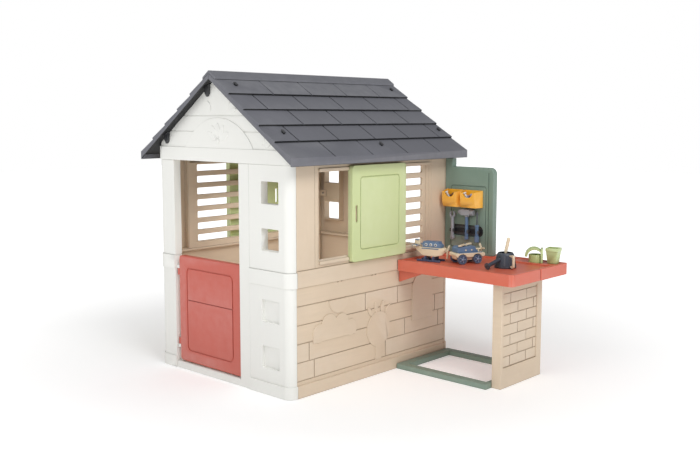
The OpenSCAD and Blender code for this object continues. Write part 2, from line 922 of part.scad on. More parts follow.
bench_z0 = bench_h - bench_t;
bench_y1 = bench_y + bench_d;
leg_x = bench_end - 72 - leg_t;
leg_y0 = bench_y + 40;
leg_y1 = leg_y0 + leg_d;
notch_y = bench_y + 218;

// Plan of the bench top: two lobes that meet at a shallow notch on the far end.
module bench_plan() {
    r = 22;
    translate([bench_x, bench_y]) square([bench_w - r - 8, bench_d]);
    translate([bench_end - 120, bench_y]) rounded(120, notch_y - bench_y, r);
    translate([bench_end - 120, notch_y - 6]) rounded(120, bench_y1 - notch_y + 6, 8);
}

module bench_shape() {
    shelf_y = bench_y1 - 110;
    shelf_x = bench_x + 330;
    difference() {
        translate([0, 0, bench_z0]) linear_extrude(bench_t) bench_plan();
        // Tray, with the back right-hand part left as a shelf for the pots
        translate([0, 0, bench_h - tray_depth]) linear_extrude(bench_t) difference() {
            translate([bench_x + rim_w, bench_y + rim_w])
                rounded(bench_w - 2 * rim_w, bench_d - 2 * rim_w, 12);
            box2(shelf_x, shelf_y, bench_end, bench_y1);
            box2(bench_x, board_y - 8, shelf_x, bench_y1);
        }
        translate([shelf_x + 14, shelf_y + 14, bench_h - 3])
            cube([bench_end - shelf_x - 28, bench_y1 - shelf_y - 28, 10]);
        // Hollow underside between ribs
        for (x = [0, 1, 2])
            translate([bench_x + skin + x * (bench_w - skin) / 3, bench_y + skin + 4, bench_z0 - 1])
                cube([
                    (bench_w - 4 * skin) / 3 - skin,
                    board_y - bench_y - 18,
                    bench_t - tray_depth - skin + 1
                ]);
        for (x = [bench_x + 60, bench_x + 190])
            translate([x, board_y + board_t / 2, bench_z0 - 1]) {
                cylinder(r = screw_r + screw_gap, h = bench_t + 2);
                cylinder(r = 2 * screw_r + 1, h = skin + 1);
            }
    }
}

// Triangular bracket against the wall under the front of the bench.
module bracket_shape() {
    gusset = 120;
    drop = 42;
    t = 8;
    z1 = bench_z0 - seam;
    front_face(bench_y + 18, t) polygon([
        [0.3, z1 - drop - 8], [band_out, z1 - drop - 8], [gusset, z1 - 6],
        [gusset, z1], [0.3, z1]
    ]);
    translate([0.3, bench_y + 18, z1 - 6]) cube([gusset - 0.3, 60, 6]);
}

module leg_shape() {
    z1 = bench_z0 - seam;
    field_y0 = leg_y0 + 16;
    field_y1 = leg_y1 - 38;
    groove_n = 8;
    difference() {
        translate([leg_x, leg_y0, 0]) cube([leg_t, leg_d, z1]);
        side_face(leg_x + leg_t - 2 * skin - 3, leg_t)
            box2(leg_y0 + skin, 2 * skin, leg_y1 - skin, z1 - skin);
        side_face(leg_x + leg_t + 1, 4) box2(field_y0, 84, field_y1, 396);
        for (k = [0 : groove_n - 1])
            side_face(leg_x + leg_t + 1, 4 + groove) box2(field_y0, 84 + k * 43, field_y1, 88 + k * 43);
        for (k = [0 : groove_n - 2], j = [0 : 1]) {
            y = field_y0 + 50 + j * 120 + (k % 2) * 55;
            side_face(leg_x + leg_t + 1, 4 + groove) box2(y, 88 + k * 43, y + 4, 127 + k * 43);
        }
    }
}

module base_shape() {
    x0 = band_out + 1;
    y0 = bench_y;
    y1 = leg_y1 + 26;
    x1 = leg_x - seam;
    difference() {
        translate([x0, y0, 0]) cube([x1 - x0, y1 - y0, base_h]);
        translate([x0 + base_bar, y0 + base_bar, -1])
            cube([x1 - x0 - 1.6 * base_bar, y1 - y0 - 2 * base_bar, base_h + 2]);
        translate([x0 + skin, y0 + skin, -1])
            cube([x1 - x0 - 2 * skin, base_bar - 2 * skin, base_h - skin + 1]);
        translate([x0 + skin, y1 - base_bar + skin, -1])
            cube([x1 - x0 - 2 * skin, base_bar - 2 * skin, base_h - skin + 1]);
    }
}

slot_x0 = board_x0 + 26;
slot_w = 172;
slot_h = 50;
slot_z = 556;

module board_shape() {
    post_x = 30;
    r = 28;
    z0 = bench_h + seam;
    post_top = eave_z - 3;
    difference() {
        union() {
            front_face(board_y, board_t) {
                box2(board_x0, z0, board_x0 + board_w, board_top - r);
                box2(board_x0, z0, board_x0 + board_w - r, board_top);
                translate([board_x0 + board_w - r, board_top - r]) circle(r);
                box2(board_x0, board_top - 1, board_x0 + post_x, post_top);
                box2(seam, sill_z + seam, board_x0 + 1, post_top);
            }
        }
        // Hollow back
        front_face(board_y + 12, board_t) difference() {
            box2(board_x0 + skin, z0 + 30, board_x0 + board_w - r, board_top - r);
            box2(slot_x0 - skin, slot_z - skin, slot_x0 + slot_w + skin, slot_z + slot_h + skin);
            box2(board_x0 + 120, z0, board_x0 + 124, board_top);
        }
        front_face(board_y - 1, board_t + 2) translate([slot_x0, slot_z])
            rounded(slot_w, slot_h, slot_h / 2);
        // Moulded line around the tool field
        front_face(board_y - 1, 1 + groove) difference() {
            translate([board_x0 + 24, bench_h + 24]) rounded(board_w - 60, board_top - bench_h - 106, 10);
            translate([board_x0 + 28, bench_h + 28]) rounded(board_w - 68, board_top - bench_h - 114, 8);
        }
        front_face(board_y - 1, 1 + groove) translate([board_x0 + board_w, 0])
            box2(-26, bench_h + 10, -22, board_top - 22);
        for (x = [bench_x + 60, bench_x + 190])
            translate([x, board_y + board_t / 2, bench_h]) cylinder(r = screw_r + screw_gap, h = 24);
        // Slots for the bins' pegs
        for (x = bin_pegs) translate([x - peg_w / 2 - 0.5, board_y - 1, bin_z + bin_h - 14.5])
            cube([peg_w + 1, 10.5, peg_h + 1]);
    }
}

tool_x = [board_x0 + 45, board_x0 + 122, board_x0 + 177];
tool_y = board_y - 16;
tool_hold_z = slot_z + (slot_h - 18) / 2;
handle_r = 7.5;

// Dark bar across the slot, with an open clip for each tool.
module tool_rail_shape() {
    h = 18;
    bar_y = board_y + 2;
    // The bar's corners reach the slot's round ends
    inset = slot_h / 2 - sqrt(slot_h * slot_h - h * h) / 2 + seam;
    translate([slot_x0 + inset, bar_y, tool_hold_z]) cube([slot_w - 2 * inset, 8, h]);
    front_face(bar_y + 7, 4) translate([slot_x0 + seam, slot_z + seam])
        rounded(slot_w - 2 * seam, slot_h - 2 * seam, slot_h / 2 - seam - 0.1);
    for (x = tool_x) difference() {
        union() {
            translate([x, tool_y, tool_hold_z + 2]) cylinder(r = handle_r + 4.5, h = h - 4);
            translate([x - 6, tool_y + 4, tool_hold_z + 2]) cube([12, bar_y - tool_y, h - 4]);
        }
        translate([x, tool_y, tool_hold_z]) cylinder(r = handle_r + 0.5, h = h);
        translate([x - handle_r - 0.5, tool_y - 20, tool_hold_z]) cube([2 * handle_r + 1, 20, h]);
    }
}

module bench_top() { in_frame() color(red) bench_shape(); }
module bench_bracket() { in_frame() color(red) bracket_shape(); }
module bench_leg() { in_frame() color(beige) leg_shape(); }
module bench_base_frame() { in_frame() color(sage) base_shape(); }
module tool_board() { in_frame() color(sage) board_shape(); }
module tool_rail() { in_frame() color(dark) tool_rail_shape(); }

// ------------------------------------------------------------------------ tools

hammer_z = 544;

module hammer_head_shape() {
    z = hammer_z + 110;
    translate([tool_x[1], tool_y, z]) difference() {
        union() {
            translate([-26, -11, -2]) cube([46, 22, 26]);
            translate([20, 0, 11]) rotate([0, 90, 0]) cylinder(r = 13, h = 18);
            translate([0, 9, 0]) rotate([90, 0, 0]) linear_extrude(18)
                polygon([[-26, 22], [-26, 2], [-40, 6], [-44, 12], [-38, 20]]);
        }
        translate([0, 0, -3]) cylinder(r = handle_r - 1 + seam, h = 20);
    }
}

module hammer_handle_shape() {
    translate([tool_x[1], tool_y, hammer_z]) {
        cylinder(r = handle_r, h = 100);
        translate([0, 0, 100]) cylinder(r = handle_r - 1, h = 20);
        cylinder(r = handle_r + 2, h = 14);
    }
}

module spanner_shape() {
    z = 548;
    ring_r = 15;
    translate([tool_x[0], tool_y, 0]) {
        translate([0, 0, z]) cylinder(r = handle_r, h = 92);
        translate([0, 4, z + 104]) rotate([90, 0, 0]) linear_extrude(8) difference() {
            circle(ring_r);
            circle(8, $fn = 6);
            translate([-5, 0]) square([10, 20]);
        }
        translate([0, 4, z]) rotate([90, 0, 0]) cylinder(r = handle_r + 3, h = 8);
    }
}

driver_z = 536;

module driver_handle_shape() {
    translate([tool_x[2], tool_y, driver_z]) difference() {
        union() {
            cylinder(r = handle_r + 3, h = 26);
            translate([0, 0, 26]) cylinder(r = handle_r, h = 42);
            translate([0, 0, 68]) cylinder(r = handle_r + 2, h = 8);
        }
        translate([0, 0, 50]) cylinder(r = 3 + 0.1, h = 30);
    }
}

module driver_shaft_shape() {
    translate([tool_x[2], tool_y, driver_z + 50.2]) {
        cylinder(r = 3, h = 78);
        translate([-4, -1.5, 70]) cube([8, 3, 14]);
    }
}

bin_z = 688;
bin_x = [board_x0 + 3, board_x0 + 6 + bin_w];
bin_taper = 9;
bin_y = board_y - seam - bin_d;
peg_in = 20;
peg_w = 10;
peg_h = 6;
bin_pegs = [for (x = bin_x, d = [peg_in, bin_w - peg_in]) x + d];

// Plan of a bin, narrower at its front, drawn in by g.
module bin_plan(g) {
    polygon([[bin_taper + g, g], [bin_w - bin_taper - g, g], [bin_w - g, bin_d - g], [g, bin_d - g]]);
}

// Side outline of a bin: the front leans back towards the foot.
module bin_side(g, top) {
    polygon([[10 + g, g], [bin_d - g, g], [bin_d - g, top], [g, top - 8], [g, 24 + g]]);
}

// Open bin with a scooped front, pegged into the board.
module bin_shape(x) {
    wall = 3;
    scoop_r = 27;
    translate([x, bin_y, bin_z]) difference() {
        union() {
            intersection() {
                linear_extrude(bin_h) bin_plan(0);
                rotate([90, 0, 90]) linear_extrude(bin_w) bin_side(0, bin_h);
            }
            for (h = [peg_in, bin_w - peg_in])
                translate([h - peg_w / 2, bin_d - 1, bin_h - 14]) cube([peg_w, 9, peg_h]);
        }
        intersection() {
            linear_extrude(bin_h + 10) bin_plan(wall);
            rotate([90, 0, 90]) linear_extrude(bin_w) bin_side(wall, bin_h + 10);
        }
        // Scoop in the front wall
        translate([bin_w / 2, 20, bin_h - 4]) rotate([90, 0, 0]) cylinder(r = scoop_r, h = 30);
    }
}

// Loose toy screws and nuts lying in a bin.
module bin_fasteners_shape(x) {
    floor_z = bin_z + 3 + 0.2;
    for (p = [[26, 34, 10], [48, 38, 8], [69, 34, 10]]) translate([x + p[0], bin_y + p[1], floor_z]) {
        cylinder(r = p[2], h = 10, $fn = 6);
        cylinder(r = 4, h = 40);
        translate([0, 0, 40]) difference() {
            cylinder(r = p[2] + 1, h = 9);
            translate([-p[2] - 2, -1.5, 6]) cube([2 * p[2] + 4, 3, 4]);
        }
    }
}

module bin_left() { in_frame() color(yellow) bin_shape(bin_x[0]); }
module bin_right() { in_frame() color(yellow) bin_shape(bin_x[1]); }
module bin_left_fasteners() { in_frame() color(steel) bin_fasteners_shape(bin_x[0]); }
module bin_right_fasteners() { in_frame() color(steel) bin_fasteners_shape(bin_x[1]); }
module hammer_head() { in_frame() color(steel) hammer_head_shape(); }
module hammer_handle() { in_frame() color(blue) hammer_handle_shape(); }
module spanner() { in_frame() color(steel) spanner_shape(); }
module screwdriver_handle() { in_frame() color(blue) driver_handle_shape(); }
module screwdriver_shaft() { in_frame() color(dark) driver_shaft_shape(); }

// ------------------------------------------------------------------- bench toys

tray_z = bench_h - tray_depth + seam;
// Places on the bench: x, y and heading in degrees
buggy_at = [252, 790, 64];
plane_at = [108, 730, 12];
wheelbase = 72;
track = 62;
wheel_w = 14;
buggy_w = 70;
axle_z = front_wheel_r;

module buggy_place() {
    translate([buggy_at[0], buggy_at[1], tray_z]) rotate(buggy_at[2]) children();
}

// Side outline of the buggy's body: rounded nose and tail over a flat floor.
module buggy_body_shape() {
    body_z = 16;
    difference() {
        union() {
            translate([0, 21, body_z]) rotate([90, 0, 0]) linear_extrude(42)
                translate([-58, 0]) rounded(128, 30, 13);
            translate([0, buggy_w / 2, body_z + 14]) rotate([90, 0, 0]) linear_extrude(buggy_w)
                translate([-64, 0]) rounded(136, 17, 8);
        }
        for (x = [-wheelbase / 2, wheelbase / 2]) {
            translate([x, 60, axle_z]) rotate([90, 0, 0]) cylinder(r = axle_r + axle_gap, h = 120);
            for (s = [-1, 1]) translate([x, s * (buggy_w / 2 + 1), axle_z]) rotate([s * 90, 0, 0])
                cylinder(r = front_wheel_r + 3, h = buggy_w / 2 - 21 + 1);
        }
    }
}

module buggy_hood_shape() {
    z = 47 + seam;
    translate([-6, 0, z]) {
        translate([0, 26, 0]) rotate([90, 0, 0]) linear_extrude(52) difference() {
            union() {
                translate([-48, 0]) rounded(96, 26, 12);
                box2(-48, 0, 48, 13);
            }
            translate([60, 30]) circle(26);
        }
        // Knob for the rotor
        translate([0, 0, 25]) cylinder(r = 3, h = 12);
    }
}

module buggy_rotor_shape() {
    z = 47 + seam + 26 + seam;
    translate([-6, 0, z]) difference() {
        union() {
            cylinder(r = 8, h = 8);
            translate([0, 0, 2]) linear_extrude(5) for (a = [35, 215])
                rotate(a) translate([-2, -7]) rounded(58, 14, 7);
        }
        translate([0, 0, -1]) cylinder(r = 3 + axle_gap, h = 12);
    }
}

// Two wheels on one axle; r is the wheels' radius.
module wheel_pair_shape(x, r) {
    translate([x, 0, axle_z]) rotate([90, 0, 0]) {
        translate([0, 0, -track / 2 - wheel_w / 2]) cylinder(r = axle_r, h = track + wheel_w);
        for (s = [-1, 1]) translate([0, 0, s * track / 2 - wheel_w / 2]) difference() {
            cylinder(r = r, h = wheel_w);
            for (e = [-1, wheel_w - 3]) translate([0, 0, e]) difference() {
                cylinder(r = r - 4, h = 4);
                cylinder(r = 6, h = 4);
            }
        }
    }
}

module plane_place() {
    translate([plane_at[0], plane_at[1], tray_z]) rotate(plane_at[2]) children();
}

hull_z = 22;

module plane_hull_shape() {
    fin_x = -74;
    difference() {
        union() {
            // Boat-shaped hull: its side outline within its plan
            intersection() {
                translate([0, 20, hull_z]) rotate([90, 0, 0]) linear_extrude(40)
                    polygon([[-76, 34], [-46, 14], [-24, 2], [30, 0], [62, 8], [74, 22],
                             [74, 38], [-40, 38], [-74, 46]]);
                translate([0, 0, hull_z]) linear_extrude(60)
                    polygon([[-78, -5], [-30, -20], [48, -20], [74, -9],
                             [74, 9], [48, 20], [-30, 20], [-78, 5]]);
            }
            translate([fin_x, 3, hull_z + 34]) rotate([90, 0, 0]) linear_extrude(6) rounded(26, 36, 8);
            translate([fin_x + 2, -34, hull_z + 42]) linear_extrude(5) rounded(24, 68, 8);
        }
        translate([60, 0, hull_z + 24]) rotate([0, 90, 0]) cylinder(r = axle_r + axle_gap, h = 20);
    }
}

module plane_cabin_shape() {
    z = hull_z + 38 + seam;
    translate([0, 17, z]) rotate([90, 0, 0]) linear_extrude(34) difference() {
        union() {
            translate([-30, 0]) rounded(86, 26, 10);
            box2(-30, 0, 56, 12);
        }
        translate([64, 30]) circle(20);
    }
}

module plane_propeller_shape() {
    translate([74 + seam, 0, hull_z + 24]) rotate([0, 90, 0]) {
        cylinder(r = 8, h = 7);
        translate([0, 0, -12]) cylinder(r = axle_r, h = 14);
        translate([0, 0, 1]) linear_extrude(5) for (a = [10, 130, 250])
            rotate(a) translate([2, -6]) rounded(32, 12, 6);
    }
}

module plane_skids_shape() {
    z1 = hull_z - seam;
    for (s = [-1, 1]) {
        translate([0, s * 24 + 4, 0]) rotate([90, 0, 0]) linear_extrude(8)
            translate([-52, 0]) rounded(110, 8, 4);
        for (x = [-14, 24]) translate([x - 4, s > 0 ? 8 : -28, 4]) cube([8, 20, z1 - 4]);
    }
}

can_at = [436, 806];
can_h = 62;
can_r = 44;
can_mouth = 25;
spout_heading = 262;
handle_turn = 70;

module can_place(heading) {
    translate([can_at[0], can_at[1], tray_z]) rotate(heading) children();
}

// Squat can: a drum that narrows upwards, with a drooping spout that ends in a wide lip.
module can_shape() {
    spout_r = 8;
    h = can_h;
    r = can_r;
    difference() {
        union() {
            rotate_extrude($fn = 64)
                polygon([[0, 0], [r, 0], [r, 10], [r - 8, h - 10], [r - 14, h], [0, h]]);
            translate([24, 0, h - 22]) rotate([0, 106, 0]) cylinder(r = spout_r, h = 84);
            translate([24, 0, h - 22]) rotate([0, 106, 0]) translate([0, 0, 76])
                cylinder(r1 = spout_r, r2 = spout_r + 5, h = 16);
        }
        translate([0, 0, pot_wall]) rotate_extrude($fn = 64)
            polygon([[0, 0], [r - 4, 0], [r - 4, 8], [r - 12, h - 12], [r - 18, h - 2], [0, h - 2]]);
        translate([24, 0, h - 22]) rotate([0, 106, 0]) translate([0, 0, 8])
            cylinder(r = spout_r - 3, h = 90);
        translate([0, 0, h - 8]) cylinder(r = can_mouth, h = 12);
        // Sockets for the handle's ends
        rotate(handle_turn) for (z = handle_z) translate([can_r - 12, 0, z]) rotate([0, 90, 0])
            cylinder(r = 3 + 0.1, h = 20);
    }
}

handle_z = [9, can_h - 10];
handle_reach = can_r + 24;

// Bow handle plugged into the side of the can.
module can_handle_shape() {
    y0 = -4;
    for (z = handle_z) translate([can_r - 9, 0, z]) rotate([0, 90, 0]) cylinder(r = 3, h = 24);
    translate([0, y0 + 8, 0]) rotate([90, 0, 0]) linear_extrude(8) difference() {
        translate([can_r + 2, 4]) rounded(handle_reach - can_r, can_h - 8, 10);
        translate([can_r + 2 - 8, 4 + 9]) rounded(handle_reach - can_r, can_h - 8 - 18, 6);
        box2(can_r - 10, 0, can_r + 4, can_h + 10);
    }
}

trowel_lean = 12;
trowel_heading = 43;

// Hand trowel standing in the can: blade on the floor, handle out of the mouth.
module trowel_shape() {
    depth = (can_h - pot_wall - seam - 2 * sin(trowel_lean)) / cos(trowel_lean);
    translate([0, 0, can_h]) rotate([0, trowel_lean, 0]) translate([0, 0, -depth]) {
        translate([-2, -14, 0]) cube([4, 28, 40]);
        translate([-3, -4, 30]) cube([6, 8, 36]);
        translate([0, 0, 60]) cylinder(r = 6, h = 4);
        translate([0, 0, 64]) cylinder(r = 7, h = 52);
        translate([0, 0, 116]) sphere(7);
    }
}

module watering_can() { in_frame() color(dark) can_place(spout_heading) can_shape(); }
module can_handle() {
    in_frame() color(cream) can_place(spout_heading) rotate(handle_turn) can_handle_shape();
}
module trowel() { in_frame() color(cream) can_place(trowel_heading) trowel_shape(); }

module rake_cup() {
    in_frame() color(green) translate([466, 990, bench_h - 3 + seam]) rotate(30) rake_cup_shape();
}

// Scoop with a tall back from which three prongs curl over it.
module rake_cup_shape() {
    r = 28;
    h = 34;
    back_x = 22;
    prong_r = 38;
    prong_w = 13;
    prong_z = 26;
    difference() {
        union() {
            cylinder(r = r, h = h);
            translate([back_x, -27, 0]) cube([9, 54, 60]);
            for (y = [-20, 0, 20]) translate([-6, y + prong_w / 2, prong_z]) rotate([90, 0, 0])
                linear_extrude(prong_w) difference() {
                    circle(prong_r);
                    translate([3, -1]) circle(prong_r - 8);
                    translate([-60, -60]) square([120, 60]);
                }
        }
        translate([0, 0, pot_wall]) cylinder(r = r - pot_wall, h = h - pot_wall + 3);
    }
}

module square_pot() {
    in_frame() color(green) translate([538, 1014, bench_h - 3 + seam]) rotate(12) pot_shape();
}

module pot_shape() {
    w0 = 38;
    w1 = 50;
    difference() {
        union() {
            rotate_square(w0, w1, pot_h - 14);
            translate([-w1 / 2 - 2, -w1 / 2 - 2, pot_h - 14]) cube([w1 + 4, w1 + 4, 14]);
        }
        translate([0, 0, pot_wall]) rotate_square(w0 - 2 * pot_wall, w1 - 2 * pot_wall, pot_h);
    }
}

// Square frustum from width a at the foot to width b at height h.
module rotate_square(a, b, h) {
    rotate(45) cylinder(d1 = a * sqrt(2), d2 = b * sqrt(2), h = h, $fn = 4);
}

module buggy_body() { in_frame() color(cream) buggy_place() buggy_body_shape(); }
module buggy_hood() { in_frame() color(blue) buggy_place() buggy_hood_shape(); }
module buggy_rotor() { in_frame() color(cream) buggy_place() buggy_rotor_shape(); }
module buggy_front_wheels() {
    in_frame() color(blue) buggy_place() wheel_pair_shape(-wheelbase / 2, front_wheel_r);
}
module buggy_rear_wheels() {
    in_frame() color(blue) buggy_place() wheel_pair_shape(wheelbase / 2, rear_wheel_r);
}
module plane_hull() { in_frame() color(cream) plane_place() plane_hull_shape(); }
module plane_cabin() { in_frame() color(blue) plane_place() plane_cabin_shape(); }
module plane_propeller() { in_frame() color(cream) plane_place() plane_propeller_shape(); }
module plane_skids() { in_frame() color(dark) plane_place() plane_skids_shape(); }

front_gable();
front_upper_panel();
front_lower_panel();
front_door_frame();
front_post_upper();
front_post_lower();
back_gable();
back_upper_panel();
back_lower_panel();
back_opening_frame();
back_post_upper();
back_post_lower();
back_infill_panel();
right_lower_wall();
right_post_front();
right_post_back();
right_window_frame();
right_shutter();
left_lower_wall();
left_post_front();
left_post_back();
left_window_frame();
left_shutter();
roof_right();
roof_left();
ridge_cap();
roof_clips();
door_leaf();
door_hinges();
corner_ties();
panel_screws();
bench_top();
bench_bracket();
bench_leg();
bench_base_frame();
tool_board();
tool_rail();
bin_left();
bin_right();
bin_left_fasteners();
bin_right_fasteners();
hammer_head();
hammer_handle();
spanner();
screwdriver_handle();
screwdriver_shaft();
buggy_body();
buggy_hood();
buggy_front_wheels();
buggy_rear_wheels();
buggy_rotor();
plane_hull();
plane_cabin();
plane_propeller();
plane_skids();
watering_can();
can_handle();
trowel();
rake_cup();
square_pot();
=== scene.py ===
import math

import bmesh
import bpy
from mathutils import Matrix, Vector
from mathutils.bvhtree import BVHTree
from mathutils.kdtree import KDTree


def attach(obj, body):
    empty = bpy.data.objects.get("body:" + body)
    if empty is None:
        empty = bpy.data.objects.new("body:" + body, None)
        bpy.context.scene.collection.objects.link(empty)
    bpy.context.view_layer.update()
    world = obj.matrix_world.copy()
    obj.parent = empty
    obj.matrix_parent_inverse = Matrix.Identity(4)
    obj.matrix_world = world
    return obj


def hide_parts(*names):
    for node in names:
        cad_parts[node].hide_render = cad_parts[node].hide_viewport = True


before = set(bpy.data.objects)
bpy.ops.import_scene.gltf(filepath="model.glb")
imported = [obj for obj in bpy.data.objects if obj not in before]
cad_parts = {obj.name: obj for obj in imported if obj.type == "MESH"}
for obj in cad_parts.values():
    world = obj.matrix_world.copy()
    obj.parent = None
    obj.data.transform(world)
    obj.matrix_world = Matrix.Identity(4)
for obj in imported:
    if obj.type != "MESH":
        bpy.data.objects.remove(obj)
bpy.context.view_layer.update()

# Front wall, lower half: the left corner post, the panel beside the door and
# the tall door frame. White polypropylene, moulded with rounded edges and a
# fine matt texture, butted together along the seams.


def linear(r, g, b):
    """A paint colour given in screen values, as the shader's own light values."""
    return tuple(pow(v / 255, 2.2) for v in (r, g, b)) + (1.0,)


def shader_group(name, inputs, outputs):
    """An empty group of shader nodes with named sockets."""
    group = bpy.data.node_groups.new(name, "ShaderNodeTree")
    for label, kind in inputs:
        group.interface.new_socket(label, in_out="INPUT", socket_type=kind)
    for label in outputs:
        group.interface.new_socket(label, in_out="OUTPUT", socket_type="NodeSocketFloat")
    return group, group.nodes.new("NodeGroupInput"), group.nodes.new("NodeGroupOutput")


def wire(tree, kind, links=(), **values):
    """A node with its inputs linked, or set to a value, by name or number."""
    node = tree.nodes.new(kind)
    for key, value in values.items():
        setattr(node, key, value)
    for socket, source in links:
        if isinstance(source, bpy.types.NodeSocket):
            tree.links.new(source, node.inputs[socket])
        else:
            node.inputs[socket].default_value = source
    return node


def noise(tree, place, scale, detail, **settings):
    """Noise at a place; the settings are the node's other inputs."""
    links = [("Vector", place), ("Scale", scale), ("Detail", detail)]
    return wire(tree, "ShaderNodeTexNoise", links + list(settings.items())).outputs[0]


def ramp(tree, value, start, end, low=0.0, high=1.0):
    """A value that goes from low to high while another goes from start to end."""
    return wire(tree, "ShaderNodeMapRange",
                [("Value", value), ("From Min", start), ("From Max", end),
                 ("To Min", low), ("To Max", high)]).outputs[0]


def times(tree, first, second):
    """The product of two values."""
    return wire(tree, "ShaderNodeMath", [(0, first), (1, second)], operation="MULTIPLY").outputs[0]


def blend(tree, share, under, over):
    """One colour laid over another by a share from 0 to 1."""
    factor, colour_a, colour_b, colour_out = 0, 6, 7, 2
    return wire(tree, "ShaderNodeMix", [(factor, share), (colour_a, under), (colour_b, over)],
                data_type="RGBA").outputs[colour_out]


def place_of(tree):
    """The point on the piece, in metres."""
    return wire(tree, "ShaderNodeTexCoord").outputs["Object"]


# Skin of a moulded part: long soft streaks like wood grain, a fine spark-eroded
# texture, and slow clouds of tone where the plastic cooled unevenly.
mould_skin, skin_in, skin_out = shader_group(
    "mould_skin",
    [("Place", "NodeSocketVector"), ("Streaks", "NodeSocketVector"), ("Grain", "NodeSocketFloat"),
     ("Share", "NodeSocketFloat")],
    ["Height", "Cloud", "Streak"])
stretched = wire(mould_skin, "ShaderNodeVectorMath",
                 [(0, skin_in.outputs["Place"]), (1, skin_in.outputs["Streaks"])], operation="MULTIPLY")
streak = noise(mould_skin, stretched.outputs[0], 1.0, 5.0, Roughness=0.6, Distortion=0.4)
fine = noise(mould_skin, skin_in.outputs["Place"], skin_in.outputs["Grain"], 2.0)
number_a, number_b = 2, 3
both = wire(mould_skin, "ShaderNodeMix",
            [(0, skin_in.outputs["Share"]), (number_a, fine), (number_b, streak)])
cloud = noise(mould_skin, skin_in.outputs["Place"], 3.1, 3.0)
mould_skin.links.new(both.outputs[0], skin_out.inputs["Height"])
mould_skin.links.new(cloud, skin_out.inputs["Cloud"])
mould_skin.links.new(streak, skin_out.inputs["Streak"])

# Rubbed edges: raised edges polished paler by hands and feet, in patches.
rubbed, rubbed_in, rubbed_out = shader_group("rubbed_edges", [("Place", "NodeSocketVector")], ["Mask"])
bare = wire(rubbed, "ShaderNodeNewGeometry").outputs["Pointiness"]
raised = ramp(rubbed, bare, 0.52, 0.62)
patch = noise(rubbed, rubbed_in.outputs["Place"], 26.0, 3.0)
rubbed.links.new(times(rubbed, raised, patch), rubbed_out.inputs["Mask"])

# Painted crevice shade: grooves and inner corners, where the light falls off, are darkened in the colour by
# an occlusion mask.
crevice_shade_group, crevice_in, crevice_out = shader_group("painted_crevice_shade", [("Reach", "NodeSocketFloat")], ["Mask"])
closed = wire(crevice_shade_group, "ShaderNodeAmbientOcclusion", [("Distance", crevice_in.outputs["Reach"])], samples=6)
crevice_shade_group.links.new(ramp(crevice_shade_group, closed.outputs["AO"], 0.35, 0.85, 1.0, 0.0), crevice_out.inputs["Mask"])

# Foot dust: a thin veil of dust and splashes that fades out above the floor.
dust_height = 0.16
foot_dust, dust_in, dust_out = shader_group("foot_dust", [("Place", "NodeSocketVector")], ["Mask"])
height = wire(foot_dust, "ShaderNodeSeparateXYZ", [(0, dust_in.outputs["Place"])]).outputs["Z"]
low_down = ramp(foot_dust, height, 0.0, dust_height, 1.0, 0.0)
specks = noise(foot_dust, dust_in.outputs["Place"], 34.0, 6.0, Roughness=0.7)
foot_dust.links.new(times(foot_dust, low_down, specks), dust_out.inputs["Mask"])


def plastic(name, colour, rough, streaks=(60, 60, 8), share=0.35, grain=1100, depth=0.12, vary=0.05,
            rub=0.5, dust=0.12, coat=0.0, crevice_shade_share=0.5, reach=0.007):
    """A moulded plastic: its colour, how matt it is, the direction and depth of its texture."""
    made = bpy.data.materials.new(name)
    made.use_nodes = True
    tree = made.node_tree
    shader = tree.nodes["Principled BSDF"]
    place = place_of(tree)
    skin = wire(tree, "ShaderNodeGroup", node_tree=mould_skin)
    tree.links.new(place, skin.inputs["Place"])
    skin.inputs["Streaks"].default_value = streaks
    skin.inputs["Grain"].default_value = grain
    skin.inputs["Share"].default_value = share
    edges = wire(tree, "ShaderNodeGroup", node_tree=rubbed)
    tree.links.new(place, edges.inputs["Place"])
    foot = wire(tree, "ShaderNodeGroup", node_tree=foot_dust)
    tree.links.new(place, foot.inputs["Place"])
    corner = wire(tree, "ShaderNodeGroup", node_tree=crevice_shade_group)
    corner.inputs["Reach"].default_value = reach

    base = linear(*colour)[:3]
    deep = tuple(c * (1 - vary * 2.2) for c in base) + (1.0,)
    pale = tuple(min(1.0, c * (1 + vary)) for c in base) + (1.0,)
    worn = tuple(c + (1 - c) * 0.28 for c in base) + (1.0,)
    # the colour of the painted shade in grooves and inner corners
    shade = tuple(c * c * 0.35 for c in base) + (1.0,)
    earth = linear(150, 138, 120)
    tone = blend(tree, ramp(tree, skin.outputs["Cloud"], 0.3, 0.7), deep, pale)
    tone = blend(tree, ramp(tree, skin.outputs["Streak"], 0.35, 0.65, 0.0, share), tone, deep)
    tone = blend(tree, times(tree, edges.outputs["Mask"], rub), tone, worn)
    tone = blend(tree, times(tree, foot.outputs["Mask"], dust), tone, earth)
    # painted shade: grooves and inner corners darkened by the occlusion mask
    tone = blend(tree, times(tree, corner.outputs["Mask"], crevice_shade_share), tone, shade)
    tree.links.new(tone, shader.inputs["Base Color"])

    matt = ramp(tree, skin.outputs["Cloud"], 0.3, 0.7, rough - 0.06, rough + 0.06)
    tree.links.new(matt, shader.inputs["Roughness"])
    bump = wire(tree, "ShaderNodeBump",
                [("Strength", depth), ("Distance", 0.001), ("Height", skin.outputs["Height"])])
    tree.links.new(bump.outputs[0], shader.inputs["Normal"])
    shader.inputs["IOR"].default_value = 1.49
    shader.inputs["Coat Weight"].default_value = coat
    shader.inputs["Coat Roughness"].default_value = 0.25
    return made


